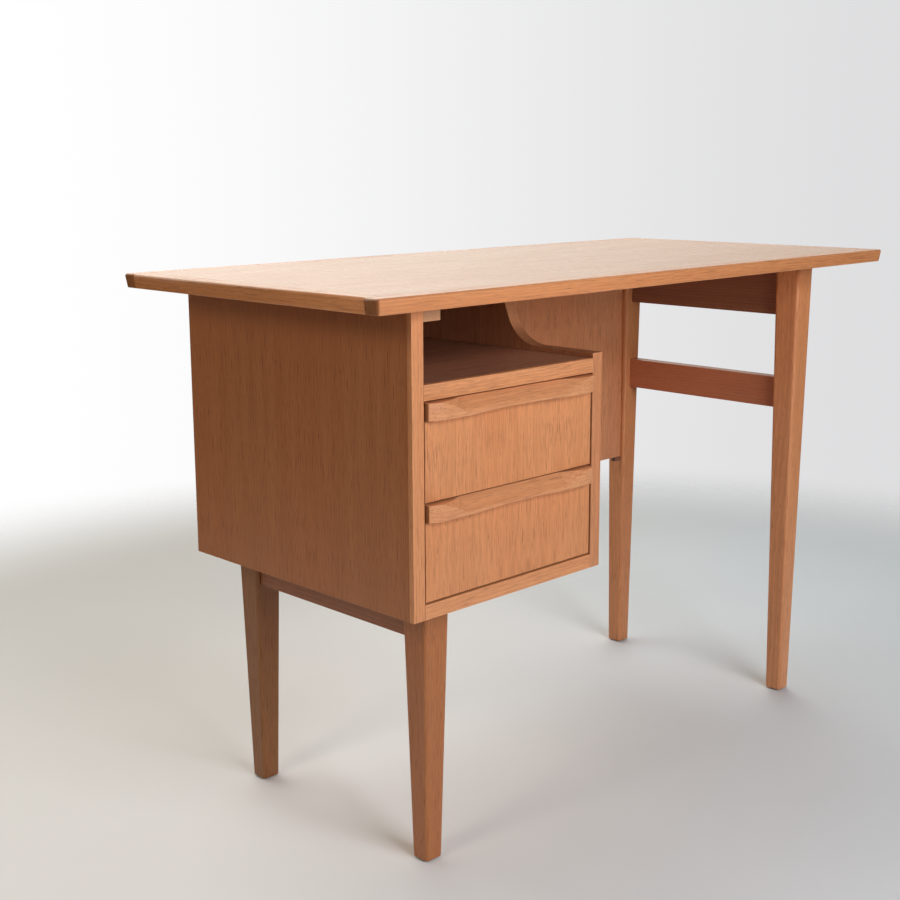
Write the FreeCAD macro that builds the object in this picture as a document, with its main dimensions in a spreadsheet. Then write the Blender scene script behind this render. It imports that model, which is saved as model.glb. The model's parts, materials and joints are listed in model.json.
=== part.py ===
"""Writing desk with two drawers, an open compartment and tapered legs.

Millimetres. The origin is on the floor under the middle of the table top, +X runs along the
length of the desk, the drawers open towards -Y and +Z is up.
"""
import FreeCAD, Part
import math
import os
import re
import Sketcher

doc = FreeCAD.newDocument("writing_desk")
sheet = doc.addObject("Spreadsheet::Sheet", "sizes")

# Driving dimensions, in millimetres. Places are measured from the origin.
DRIVING = {
    # table top
    "desk_height": 740.0, "top_length": 1075.0, "top_depth": 502.0, "top_thickness": 18.5,
    "top_edge_slope": 2.0, "top_corner_radius": 5.0, "lipping_width": 24.0,
    # cabinet
    "cabinet_left": -466.0, "cabinet_right": -129.3, "cabinet_front": -225.0, "cabinet_back": 210.0,
    "cabinet_bottom": 355.0, "panel_thickness": 18.5, "deck_height": 634.0, "deck_thickness": 18.7,
    "edge_strip": 8.0, "back_thickness": 8.0, "low_rim": 6.5, "sweep_start": -130.0,
    "sweep_radius": 57.0, "sweep_end": -59.0, "cleat_width": 27.0, "cleat_height": 15.5,
    # legs and rails
    "left_leg_x": -376.0, "right_leg_x": 445.5, "front_leg_y": -150.0, "back_leg_y": 191.0,
    "leg_head": 43.0, "leg_foot": 27.6, "leg_rounding": 5.0, "glide_height": 2.0,
    "glide_radius": 9.0, "rail_thickness": 20.0, "left_rail_x": -390.5, "right_rail_x": 440.0,
    "left_rail_height": 57.0, "stretcher_bottom": 482.0, "stretcher_height": 50.0,
    # panel behind the knees
    "modesty_front": 180.0, "modesty_thickness": 16.0, "block_length": 12.0, "block_depth": 8.0,
    "block_height": 7.5,
    # drawers and their runners
    "drawer_gap": 2.2, "front_recess": 1.2, "front_thickness": 16.0, "box_length": 388.0,
    "box_height": 98.0, "side_thickness": 12.0, "sheet_thickness": 4.0, "sheet_raise": 6.0,
    "groove_depth": 5.0, "back_drop": 10.0, "runner_width": 14.0, "runner_height": 12.0,
    "runner_inset": 2.0, "runner_clearance": 0.5,
    # carved handle rail
    "handle_height": 21.0, "handle_reach": 12.7, "handle_slope": 16.0, "handle_end_reach": 6.1,
    "handle_end_run": 30.0, "handle_tongue": 57.0, "pull_lip": 4.0, "pull_depth": 5.5, "pull_width": 8.0,
    "tool_margin": 1.0,
    # dowels: their places are margins from an edge, or shares of a height
    "dowel_radius": 4.0, "dowel_length": 32.0, "dowel_shift": 4.0, "bore_slack": 0.1,
    "carcass_dowel_margin": 45.0, "rail_dowel_share": 0.27, "modesty_dowel_share": 0.15,
    # screws
    "screw_radius": 2.3, "head_radius": 4.5, "head_height": 3.0, "cleat_screw_length": 28.0,
    "cleat_screw_margin": 60.0, "rail_screw_length": 40.0, "rail_screw_margin": 70.0,
    "rail_screw_sink": 28.0, "leg_screw_length": 50.0, "leg_screw_spacing": 18.0,
}
for row, (alias, value) in enumerate(DRIVING.items(), start=1):
    sheet.set(f"A{row}", alias)
    sheet.set(f"B{row}", str(value))
    sheet.setAlias(f"B{row}", alias)
doc.recompute()

# Formulas that several pieces share.
UNDERSIDE = "(desk_height - top_thickness)"
INNER_LEFT = "(cabinet_left + panel_thickness)"
INNER_RIGHT = "(cabinet_right - panel_thickness)"
FLOOR_TOP = "(cabinet_bottom + panel_thickness)"
DECK_UNDERSIDE = "(deck_height - deck_thickness)"
FRONT_HEIGHT = f"(({DECK_UNDERSIDE} - {FLOOR_TOP} - 3 * drawer_gap) / 2)"
FRONT_LENGTH = f"({INNER_RIGHT} - {INNER_LEFT} - 2 * drawer_gap)"
DRAWER_PITCH = f"({FRONT_HEIGHT} + drawer_gap)"
FRONT_FACE = "(cabinet_front + front_recess)"
BOX_FRONT = f"({FRONT_FACE} + front_thickness)"
CABINET_MIDDLE = "((cabinet_left + cabinet_right) / 2)"
CABINET_CENTRE_Y = "((cabinet_front + cabinet_back) / 2)"

ARC_GUESS = math.radians(70)  # first guess of the arc's turn, which the sketch then solves

nodes = {}


def in_sheet(formula):
    """The formula with each alias written as a cell of the sheet."""
    def named(match):
        word = match.group(0)
        return "sizes." + word if word in DRIVING else word
    return re.sub(r"[a-z_]+", named, formula)


def number(formula):
    """What a formula is worth now, to draw a sketch near its final shape."""
    return float(sheet.evalExpression(in_sheet(formula)))


def bind(item, target, formula):
    """Bind one property of an object to a formula of the sheet's aliases."""
    item.setExpression(target, in_sheet(formula))


def place(item, x=None, y=None, z=None):
    """Bind the corner or centre of an object."""
    for axis, formula in (("x", x), ("y", y), ("z", z)):
        if formula is not None:
            bind(item, f"Placement.Base.{axis}", formula)


def keep(name, item):
    """Record an object as one named sub-part."""
    item.Label = name
    nodes[name] = item
    return item


def board(name, x_span, y_span, z_span):
    """A rectangular board between pairs of planes."""
    piece = doc.addObject("Part::Box", name)
    for target, span in (("Length", x_span), ("Width", y_span), ("Height", z_span)):
        bind(piece, target, f"({span[1]}) - ({span[0]})")
    place(piece, x_span[0], y_span[0], z_span[0])
    return piece


AXIS_TURN = {
    "slope": FreeCAD.Rotation(FreeCAD.Vector(1, 0, 0), -45),
    "slope_face": FreeCAD.Rotation(FreeCAD.Vector(1, 0, 0), 45),
    "+x": FreeCAD.Rotation(FreeCAD.Vector(0, 1, 0), 90),
    "+y": FreeCAD.Rotation(FreeCAD.Vector(1, 0, 0), -90),
    "+z": FreeCAD.Rotation(),
    "-z": FreeCAD.Rotation(FreeCAD.Vector(1, 0, 0), 180),
}


def rod(name, axis, start, radius, length):
    """A cylinder that runs from its start point along an axis."""
    piece = doc.addObject("Part::Cylinder", name)
    piece.Placement = FreeCAD.Placement(FreeCAD.Vector(), AXIS_TURN[axis])
    bind(piece, "Radius", radius)
    bind(piece, "Height", length)
    place(piece, *start)
    return piece


def joined(name, items):
    """One shape for several objects, used as a cutting tool."""
    if len(items) == 1:
        return items[0]
    tool = doc.addObject("Part::MultiFuse", name)
    tool.Shapes = items
    return tool


def cut(name, base, tools):
    """The base less all the tools."""
    piece = doc.addObject("Part::Cut", name)
    piece.Base = base
    piece.Tool = joined(name + "_tools", tools)
    return piece


def group(name, items):
    """Separate solids that share one node."""
    piece = doc.addObject("Part::Compound", name)
    piece.Links = items
    return keep(name, piece)


# ---------------------------------------------------------------- sketches

def origin_plane(body, role):
    """One of a body's own origin planes."""
    return next(item for item in body.Origin.OriginFeatures if item.Role == role)


def new_sketch(body, name, role, offset=None):
    """An empty sketch on an origin plane, raised along its normal by a formula."""
    sketch = body.newObject("Sketcher::SketchObject", name)
    sketch.AttachmentSupport = [(origin_plane(body, role), "")]
    sketch.MapMode = "FlatFace"
    if offset is not None:
        bind(sketch, "AttachmentOffset.Base.z", offset)
    return sketch


def pin(sketch, kind, where, formula, guess):
    """Add a dimension between a point and the sketch's origin, bound to a formula."""
    index = sketch.addConstraint(Sketcher.Constraint(kind, -1, 1, where[0], where[1], guess))
    bind(sketch, f"Constraints[{index}]", formula)


def rounded_rectangle(body, name, offset, width, depth, radius):
    """A rectangle with rounded corners, centred on the sketch's origin."""
    sketch = new_sketch(body, name, "XY_Plane", offset)
    half_w, half_d = number(f"({width}) / 2"), number(f"({depth}) / 2")
    round_r = number(radius)
    in_w, in_d = half_w - round_r, half_d - round_r
    sides = [((-in_w, -half_d), (in_w, -half_d)), ((half_w, -in_d), (half_w, in_d)),
             ((in_w, half_d), (-in_w, half_d)), ((-half_w, in_d), (-half_w, -in_d))]
    middles = [(in_w, -in_d), (in_w, in_d), (-in_w, in_d), (-in_w, -in_d)]
    for turn, (ends, middle) in enumerate(zip(sides, middles)):
        first, last = (FreeCAD.Vector(x, y, 0) for x, y in ends)
        sketch.addGeometry(Part.LineSegment(first, last), False)
        circle = Part.Circle(FreeCAD.Vector(*middle, 0), FreeCAD.Vector(0, 0, 1), round_r)
        start = (turn - 1) * math.pi / 2
        sketch.addGeometry(Part.ArcOfCircle(circle, start, start + math.pi / 2), False)
    for index in range(8):
        sketch.addConstraint(Sketcher.Constraint("Tangent", index, 2, (index + 1) % 8, 1))
    for index, kind in ((0, "Horizontal"), (2, "Vertical"), (4, "Horizontal"), (6, "Vertical")):
        sketch.addConstraint(Sketcher.Constraint(kind, index))
    for index in (3, 5, 7):
        sketch.addConstraint(Sketcher.Constraint("Equal", 1, index))
    sketch.addConstraint(Sketcher.Constraint("Symmetric", 0, 1, 4, 1, -1, 1))
    size = sketch.addConstraint(Sketcher.Constraint("Radius", 1, round_r))
    bind(sketch, f"Constraints[{size}]", radius)
    pin(sketch, "DistanceX", (2, 1), f"({width}) / 2", half_w)
    pin(sketch, "DistanceY", (4, 1), f"({depth}) / 2", half_d)
    return sketch


def tapered_block(name, height, low, high, radius):
    """A block with rounded corners that tapers between a low and a high rectangle."""
    body = doc.addObject("PartDesign::Body", name)
    first = rounded_rectangle(body, name + "_low", None, *low, radius)
    second = rounded_rectangle(body, name + "_high", height, *high, radius)
    loft = body.newObject("PartDesign::AdditiveLoft", name + "_loft")
    loft.Profile = first
    loft.Sections = [second]
    loft.Ruled = True
    body.Tip = loft
    return body


# ---------------------------------------------------------------- dowels and screws

def dowel(name, axis, middle):
    """A dowel centred on a joint's face, and the slightly longer bore that it sits in."""
    along = {"x": 0, "y": 1, "z": 2}[axis[1]]
    low, lower = list(middle), list(middle)
    low[along] = f"({middle[along]}) - dowel_length / 2"
    lower[along] = f"({middle[along]}) - dowel_length / 2 - bore_slack"
    pin_piece = rod(name, axis, low, "dowel_radius", "dowel_length")
    bore = rod(name + "_bore", axis, lower, "dowel_radius + bore_slack", "dowel_length + 2 * bore_slack")
    return pin_piece, bore


def screw(name, axis, head, length):
    """A countersunk screw whose flat head starts at a point, and the bore that it sits in."""
    shapes = []
    for tag, slack in (("", "0"), ("_bore", "bore_slack")):
        cone = doc.addObject("Part::Cone", name + tag + "_head")
        cone.Placement = FreeCAD.Placement(FreeCAD.Vector(), AXIS_TURN[axis])
        bind(cone, "Radius1", f"head_radius + {slack}")
        bind(cone, "Radius2", f"screw_radius + {slack}")
        bind(cone, "Height", "head_height")
        place(cone, *head)
        shank = rod(name + tag + "_shank", axis, head, f"screw_radius + {slack}", f"{length} + {slack}")
        shapes.append(joined(name + tag, [cone, shank]))
    return shapes


# ---------------------------------------------------------------- table top

def make_top():
    """Core board and four solid lippings, cut from one blank with sloping edges."""
    low = ("top_length - 2 * top_edge_slope", "top_depth - 2 * top_edge_slope")
    blank = tapered_block("top_blank", "top_thickness", low, ("top_length", "top_depth"),
                          "top_corner_radius")
    place(blank, z=UNDERSIDE)
    z_span = (UNDERSIDE, "desk_height")
    left, right = "-top_length / 2", "top_length / 2"
    front, back = "-top_depth / 2", "top_depth / 2"
    strips = {
        "top_front_lipping": ((left, right), (front, f"{front} + lipping_width")),
        "top_back_lipping": ((left, right), (f"{back} - lipping_width", back)),
        "top_left_lipping": ((left, f"{left} + lipping_width"),
                             (f"{front} + lipping_width", f"{back} - lipping_width")),
        "top_right_lipping": ((f"{right} - lipping_width", right),
                              (f"{front} + lipping_width", f"{back} - lipping_width")),
    }
    for name, (x_span, y_span) in strips.items():
        strip = doc.addObject("Part::Common", name)
        strip.Base = blank
        strip.Tool = board(name + "_zone", x_span, y_span, z_span)
        keep(name, strip)
    return board("top_core_board", (f"{left} + lipping_width", f"{right} - lipping_width"),
                 (f"{front} + lipping_width", f"{back} - lipping_width"), z_span)


# ---------------------------------------------------------------- cabinet

def make_swept_panel():
    """Right side panel: low at the front, then an arc and a straight up to the table top."""
    body = doc.addObject("PartDesign::Body", "right_panel_blank")
    sketch = new_sketch(body, "right_panel_outline", "YZ_Plane")
    back, bottom, top = number("cabinet_back"), number("cabinet_bottom"), number(UNDERSIDE)
    front, low = number("cabinet_front + edge_strip"), number("deck_height + low_rim")
    start, end, radius = number("sweep_start"), number("sweep_end"), number("sweep_radius")
    leave = (start + radius * math.sin(ARC_GUESS), low + radius * (1 - math.cos(ARC_GUESS)))
    corners = [(front, bottom), (front, low), (start, low), leave, (end, top), (back, top), (back, bottom)]
    points = [FreeCAD.Vector(y, z, 0) for y, z in corners]
    sketch.addGeometry(Part.LineSegment(points[0], points[1]), False)
    sketch.addGeometry(Part.LineSegment(points[1], points[2]), False)
    circle = Part.Circle(FreeCAD.Vector(start, low + radius, 0), FreeCAD.Vector(0, 0, 1), radius)
    sketch.addGeometry(Part.ArcOfCircle(circle, -math.pi / 2, ARC_GUESS - math.pi / 2), False)
    for index in (3, 4, 5):
        sketch.addGeometry(Part.LineSegment(points[index], points[index + 1]), False)
    sketch.addGeometry(Part.LineSegment(points[6], points[0]), False)
    for first, second in ((0, 1), (3, 4), (4, 5), (5, 6), (6, 0)):
        sketch.addConstraint(Sketcher.Constraint("Coincident", first, 2, second, 1))
    sketch.addConstraint(Sketcher.Constraint("Tangent", 1, 2, 2, 1))
    sketch.addConstraint(Sketcher.Constraint("Tangent", 2, 2, 3, 1))
    for index, kind in ((0, "Vertical"), (1, "Horizontal"), (4, "Horizontal"), (5, "Vertical"),
                        (6, "Horizontal")):
        sketch.addConstraint(Sketcher.Constraint(kind, index))
    arc_size = sketch.addConstraint(Sketcher.Constraint("Radius", 2, radius))
    bind(sketch, f"Constraints[{arc_size}]", "sweep_radius")
    pin(sketch, "DistanceX", (0, 1), "cabinet_front + edge_strip", front)
    pin(sketch, "DistanceY", (0, 1), "cabinet_bottom", bottom)
    pin(sketch, "DistanceY", (0, 2), "deck_height + low_rim", low)
    pin(sketch, "DistanceX", (1, 2), "sweep_start", start)
    pin(sketch, "DistanceX", (3, 2), "sweep_end", end)
    pin(sketch, "DistanceY", (3, 2), UNDERSIDE, top)
    pin(sketch, "DistanceX", (4, 2), "cabinet_back", back)
    pad = body.newObject("PartDesign::Pad", "right_panel_pad")
    pad.Profile = sketch
    bind(pad, "Length", "panel_thickness")
    body.Tip = pad
    place(body, x=INNER_RIGHT)
    return body


def make_cabinet(bores):
    """Side panels, deck, bottom board, back panel, their front strips and the cleat."""
    z_span = ("cabinet_bottom", UNDERSIDE)
    depth = ("cabinet_front + edge_strip", "cabinet_back")
    strip = ("cabinet_front", "cabinet_front + edge_strip")
    back_face = "cabinet_back - back_thickness"
    inside = (INNER_LEFT, INNER_RIGHT)
    left_span = ("cabinet_left", INNER_LEFT)
    right_span = (INNER_RIGHT, "cabinet_right")
    keep("cabinet_left_panel", cut("left_panel", board("left_panel_blank", left_span, depth, z_span),
                                   bores["left_side"]))
    keep("cabinet_right_panel", cut("right_panel", make_swept_panel(), bores["right_side"]))
    deck_z = (DECK_UNDERSIDE, "deck_height")
    floor_z = ("cabinet_bottom", FLOOR_TOP)
    board_depth = (depth[0], back_face)
    deck = board("deck_blank", inside, board_depth, deck_z)
    keep("cabinet_deck_board", cut("deck", deck, bores["deck"]))
    floor = board("floor_blank", inside, board_depth, floor_z)
    keep("cabinet_bottom_board", cut("floor", floor, bores["floor"]))
    keep("cabinet_back_panel", board("back_panel", inside, (back_face, "cabinet_back"), z_span))
    low_z = ("cabinet_bottom", "deck_height + low_rim")
    for name, x_span, span in (("left_panel_edge_strip", left_span, z_span),
                               ("right_panel_edge_strip", right_span, low_z),
                               ("deck_edge_strip", inside, deck_z),
                               ("bottom_board_edge_strip", inside, floor_z)):
        keep(name, board(name, x_span, strip, span))
    cleat = board("cleat_blank", (INNER_LEFT, f"{INNER_LEFT} + cleat_width"),
                  ("cabinet_front", back_face), (f"{UNDERSIDE} - cleat_height", UNDERSIDE))
    keep("top_fixing_cleat", cut("cleat", cleat, bores["cleat"]))
    for storey, level in (("lower", FLOOR_TOP), ("upper", f"{FLOOR_TOP} + {DRAWER_PITCH}")):
        for side, x_span in (("left", (INNER_LEFT, f"{INNER_LEFT} + runner_width")),
                             ("right", (f"{INNER_RIGHT} - runner_width", INNER_RIGHT))):
            name = f"{storey}_drawer_{side}_runner"
            keep(name, board(name, x_span, (f"{BOX_FRONT} + runner_inset", back_face),
                             (level, f"{level} + runner_height")))


# ---------------------------------------------------------------- drawers

def make_handle(name):
    """Carved handle rail, about the middle of its length and the drawer's front face.

    The front bows in towards both ends. A cut at 45 degrees slopes the top down to a narrow nose,
    and leaves a tongue of the full height at each end. A slot below is the finger pull.
    """
    half = f"({FRONT_LENGTH} / 2)"
    drop = "(handle_reach - handle_end_reach)"
    bow = f"((handle_end_run ^ 2 + {drop} ^ 2) / (2 * {drop}))"
    sweep = "((handle_tongue ^ 2 + handle_slope ^ 2 / 2) / (sqrt(2) * handle_slope))"
    strip = board(name + "_strip", (f"-{half}", half), ("-handle_reach", "front_thickness"),
                  ("0", "handle_height"))
    # The sloping cut is a block turned by 45 degrees. Its start lies on the cut, below the nose.
    slope_y, slope_z = "-handle_reach - handle_slope", "handle_height - 2 * handle_slope"
    slope = board(name + "_slope", (f"-{half}", half), ("0", "3 * handle_slope"), ("0", "2 * handle_slope"))
    slope.Placement = FreeCAD.Placement(FreeCAD.Vector(), AXIS_TURN["slope_face"])
    place(slope, f"-{half}", slope_y, slope_z)
    tools, tongues = [], []
    for side, sign, x_span in (("left", "-1", (f"-{half} - tool_margin", f"-{half} + handle_end_run")),
                               ("right", "1", (f"{half} - handle_end_run", f"{half} + tool_margin"))):
        corner = board(f"{name}_{side}_corner", x_span, ("-handle_reach - tool_margin", "-handle_end_reach"),
                       ("-tool_margin", "handle_height"))
        centre = (f"{sign} * ({half} - handle_end_run)", f"{bow} - handle_reach", "-tool_margin")
        barrel = rod(f"{name}_{side}_bow", "+z", centre, bow, "handle_height + tool_margin")
        tools.append(cut(f"{name}_{side}_end", corner, [barrel]))
        inward = f"({sweep} - handle_slope / sqrt(2)) / sqrt(2)"
        start = (f"{sign} * {half}", f"{slope_y} + {inward}", f"{slope_z} - {inward}")
        tongues.append(rod(f"{name}_{side}_tongue", "slope", start, sweep, "3 * handle_slope"))
    tools.append(cut(name + "_scoop", slope, tongues))
    reach = f"({half} - handle_tongue)"
    pull_y = "(-handle_reach + pull_lip)"
    tools.append(board(name + "_pull", (f"-{reach}", reach), (pull_y, f"{pull_y} + pull_width"),
                       ("-tool_margin", "pull_depth")))
    for side, sign in (("left", "-"), ("right", "")):
        centre = (sign + reach, f"{pull_y} + pull_width / 2", "-tool_margin")
        tools.append(rod(f"{name}_{side}_pull", "+z", centre, "pull_width / 2", "pull_depth + tool_margin"))
    return cut(name, strip, tools)


def make_drawer(storey, level):
    """One drawer: veneered front, carved handle rail, two sides, back and bottom."""
    half = f"({FRONT_LENGTH} / 2)"
    front_top = f"({level} + {FRONT_HEIGHT})"
    left, right = f"({CABINET_MIDDLE} - {half})", f"({CABINET_MIDDLE} + {half})"
    face = (FRONT_FACE, BOX_FRONT)
    box_bottom = f"({level} - drawer_gap + runner_height + runner_clearance)"
    box_top = f"({box_bottom} + box_height)"
    box_back = f"({BOX_FRONT} + box_length)"
    sheet_z = (f"{box_bottom} + sheet_raise", f"{box_bottom} + sheet_raise + sheet_thickness")
    groove = board(storey + "_groove", (f"{left} + side_thickness - groove_depth",
                                        f"{right} - side_thickness + groove_depth"),
                   (f"{BOX_FRONT} - groove_depth", box_back), sheet_z)
    front = board(storey + "_front_blank", (left, right), face, (level, f"{front_top} - handle_height"))
    keep(f"{storey}_drawer_front", cut(storey + "_front", front, [groove]))
    handle = make_handle(storey + "_handle")
    place(handle, CABINET_MIDDLE, FRONT_FACE, f"{front_top} - handle_height")
    keep(f"{storey}_drawer_handle_rail", handle)
    for side, span in (("left", (left, f"{left} + side_thickness")),
                       ("right", (f"{right} - side_thickness", right))):
        blank = board(f"{storey}_{side}_side_blank", span, (BOX_FRONT, box_back), (box_bottom, box_top))
        keep(f"{storey}_drawer_{side}_side", cut(f"{storey}_{side}_side", blank, [groove]))
    inside = (f"{left} + side_thickness", f"{right} - side_thickness")
    back_span = (f"{box_back} - side_thickness", box_back)
    keep(f"{storey}_drawer_back",
         board(storey + "_back", inside, back_span, (sheet_z[1], f"{box_top} - back_drop")))
    keep(f"{storey}_drawer_bottom",
         board(storey + "_bottom", (f"{left} + side_thickness - groove_depth",
                                    f"{right} - side_thickness + groove_depth"),
               (f"{BOX_FRONT} - groove_depth", box_back), sheet_z))


# ---------------------------------------------------------------- legs and rails

def make_frames(bores):
    """Four tapered legs, their rails, and the glides under them."""
    foot = ("leg_foot", "leg_foot")
    head = ("leg_head", "leg_head")
    blanks, glides = {}, []
    for side, x, top in (("left", "left_leg_x", "cabinet_bottom"), ("right", "right_leg_x", UNDERSIDE)):
        for end, y in (("front", "front_leg_y"), ("back", "back_leg_y")):
            name = f"{end}_{side}_leg"
            blank = tapered_block(name + "_blank", f"{top} - glide_height", foot, head, "leg_rounding")
            place(blank, x, y, "glide_height")
            blanks[name] = blank
            keep(name, cut(name, blank, bores[name]))
            glides.append(rod(name + "_glide", "+z", (x, y, "0"), "glide_radius", "glide_height"))
    group("leg_glides", glides)
    rails = {
        "left_side_rail": ("left", "left_rail_x", ("cabinet_bottom - left_rail_height", "cabinet_bottom")),
        "right_upper_rail": ("right", "right_rail_x", ("deck_height", UNDERSIDE)),
        "right_stretcher": ("right", "right_rail_x",
                            ("stretcher_bottom", "stretcher_bottom + stretcher_height")),
    }
    for name, (side, x, z_span) in rails.items():
        x_span = (x, f"{x} + rail_thickness")
        long_rail = board(name + "_blank", x_span, ("front_leg_y", "back_leg_y"), z_span)
        legs = [blanks[f"front_{side}_leg"], blanks[f"back_{side}_leg"]]
        keep(name, cut(name, long_rail, legs + bores[name]))
    modesty_back = "modesty_front + modesty_thickness"
    modesty = board("modesty_blank", ("cabinet_right", "right_leg_x"), ("modesty_front", modesty_back),
                    ("cabinet_bottom", UNDERSIDE))
    keep("modesty_panel", cut("modesty", modesty, [blanks["back_right_leg"]] + bores["modesty"]))
    block = board("block_blank", ("right_leg_x - leg_head / 2 - block_length", "right_leg_x"),
                  ("modesty_front", "modesty_front + block_depth"),
                  ("cabinet_bottom - block_height", "cabinet_bottom"))
    keep("modesty_support_block", cut("block", block, [blanks["back_right_leg"]]))


# ---------------------------------------------------------------- joints inside the wood

def make_joints():
    """Dowels and screws, with the bores that each board needs for them."""
    bores = {name: [] for name in ("left_side", "right_side", "deck", "floor", "cleat", "top", "modesty",
                                   "front_left_leg", "back_left_leg", "front_right_leg", "back_right_leg",
                                   "left_side_rail", "right_upper_rail", "right_stretcher")}

    def add_dowel(pins, name, axis, middle, members):
        pin_piece, bore = dowel(name, axis, middle)
        pins.append(pin_piece)
        for member in members:
            bores[member].append(bore)

    carcass, frame, panel = [], [], []
    margin = "carcass_dowel_margin"
    depths = [f"cabinet_front + {margin}", CABINET_CENTRE_Y, f"cabinet_back - {margin}"]
    levels = {"deck": "deck_height - deck_thickness / 2", "floor": "cabinet_bottom + panel_thickness / 2"}
    for member, z in levels.items():
        for index, y in enumerate(depths):
            for side, x, inward in (("left", INNER_LEFT, "+"), ("right", INNER_RIGHT, "-")):
                middle = (f"{x} {inward} dowel_shift", y, z)
                add_dowel(carcass, f"{member}_{side}_dowel_{index}", "+x", middle, [member, side + "_side"])
    ends = {"front": "front_leg_y + leg_head / 2", "back": "back_leg_y - leg_head / 2"}
    rail_levels = {
        "left_side_rail": ("left", "left_rail_x", "cabinet_bottom - left_rail_height", "left_rail_height"),
        "right_upper_rail": ("right", "right_rail_x", "deck_height", f"({UNDERSIDE} - deck_height)"),
        "right_stretcher": ("right", "right_rail_x", "stretcher_bottom", "stretcher_height"),
    }
    for rail, (side, x, low, height) in rail_levels.items():
        for end, y in ends.items():
            for index, share in enumerate(("rail_dowel_share", "(1 - rail_dowel_share)")):
                middle = (f"{x} + rail_thickness / 2", y, f"{low} + {share} * {height}")
                add_dowel(frame, f"{rail}_{end}_dowel_{index}", "+y", middle, [rail, f"{end}_{side}_leg"])
    for side, x, member in (("cabinet", "cabinet_right + dowel_shift", "right_side"),
                            ("leg", "right_leg_x - leg_head / 2", "back_right_leg")):
        for index, share in enumerate(("modesty_dowel_share", "0.5", "(1 - modesty_dowel_share)")):
            z = f"cabinet_bottom + {share} * ({UNDERSIDE} - cabinet_bottom)"
            middle = (x, "modesty_front + modesty_thickness / 2", z)
            add_dowel(panel, f"modesty_{side}_dowel_{index}", "+x", middle, ["modesty", member])
    group("carcass_dowels", carcass)
    group("rail_dowels", frame)
    group("modesty_panel_dowels", panel)

    top_screws, leg_screws = [], []
    cleat_x = f"{INNER_LEFT} + cleat_width / 2"
    rail_x = "right_rail_x + rail_thickness / 2"
    margin = "cleat_screw_margin"
    depths = [f"cabinet_front + {margin}", CABINET_CENTRE_Y, f"cabinet_back - {margin}"]
    for index, y in enumerate(depths):
        head = (cleat_x, y, f"{UNDERSIDE} - cleat_height")
        solid, bore = screw(f"cleat_screw_{index}", "+z", head, "cleat_screw_length")
        top_screws.append(solid)
        bores["cleat"].append(bore)
        bores["top"].append(bore)
    for index, y in enumerate(("front_leg_y + rail_screw_margin", "back_leg_y - rail_screw_margin")):
        head_z = f"({UNDERSIDE} - rail_screw_sink)"
        solid, bore = screw(f"rail_screw_{index}", "+z", (rail_x, y, head_z), "rail_screw_length")
        well = rod(f"rail_screw_well_{index}", "+z", (rail_x, y, "deck_height"), "head_radius + bore_slack",
                   f"{head_z} - deck_height")
        top_screws.append(solid)
        bores["right_upper_rail"].extend([bore, well])
        bores["top"].append(bore)
    for end in ("front", "back"):
        for index, side in enumerate(("-", "+")):
            head = (f"left_leg_x {side} leg_screw_spacing / 2", f"{end}_leg_y", FLOOR_TOP)
            solid, bore = screw(f"{end}_leg_screw_{index}", "-z", head, "leg_screw_length")
            leg_screws.append(solid)
            bores["floor"].append(bore)
            bores[f"{end}_left_leg"].append(bore)
    group("top_fixing_screws", top_screws)
    group("leg_fixing_screws", leg_screws)
    return bores


def check_and_write():
    """Stop on any failed object or bad shape, then write one STEP file for each sub-part."""
    doc.recompute()
    for item in doc.Objects:
        if "Invalid" in item.State or "Error" in item.State:
            raise RuntimeError(f"{item.Name} failed: {item.State}")
    for name, item in nodes.items():
        if item.Shape.isNull() or not item.Shape.isValid() or not item.Shape.Solids:
            raise RuntimeError(f"{name} has no valid solid")
    os.makedirs("parts", exist_ok=True)
    for name, item in nodes.items():
        item.Shape.exportStep(f"parts/{name}.step")
    print(f"{len(nodes)} sub-parts written")


joint_bores = make_joints()
keep("top_core_board", cut("top_core", make_top(), joint_bores["top"]))
make_cabinet(joint_bores)
make_frames(joint_bores)
make_drawer("lower", f"({FLOOR_TOP} + drawer_gap)")
make_drawer("upper", f"({FLOOR_TOP} + drawer_gap + {DRAWER_PITCH})")
check_and_write()
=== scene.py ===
import bmesh
import bpy
import json
import math
import random
from mathutils import Matrix, Vector


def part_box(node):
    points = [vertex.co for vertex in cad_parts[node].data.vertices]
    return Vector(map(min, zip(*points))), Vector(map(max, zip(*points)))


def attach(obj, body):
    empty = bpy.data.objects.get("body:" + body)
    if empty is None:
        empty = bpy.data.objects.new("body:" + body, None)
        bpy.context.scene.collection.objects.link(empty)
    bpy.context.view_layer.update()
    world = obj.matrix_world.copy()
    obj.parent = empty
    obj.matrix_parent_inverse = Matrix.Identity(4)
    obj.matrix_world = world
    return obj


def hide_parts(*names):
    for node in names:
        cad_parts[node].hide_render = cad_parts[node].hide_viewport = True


# Looks of the writing desk, in metres. Boards, legs, handle rails and top are rebuilt as detailed
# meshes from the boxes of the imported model. Every piece has its own cut of procedural oak.
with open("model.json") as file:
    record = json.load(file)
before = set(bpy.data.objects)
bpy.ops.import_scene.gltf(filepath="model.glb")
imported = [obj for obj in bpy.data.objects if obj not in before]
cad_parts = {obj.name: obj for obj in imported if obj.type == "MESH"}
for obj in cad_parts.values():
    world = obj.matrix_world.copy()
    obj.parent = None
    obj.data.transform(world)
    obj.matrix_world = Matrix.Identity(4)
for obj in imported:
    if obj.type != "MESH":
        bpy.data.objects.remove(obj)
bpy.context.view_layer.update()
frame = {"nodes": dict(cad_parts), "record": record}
nodes = frame["nodes"]
record = frame["record"]
body_of_node = {node: body for body, members in record["behaviour"]["bodies"].items() for node in members}
scene = bpy.context.scene
MM = 0.001


# ---------------------------------------------------------------- node helpers

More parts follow.
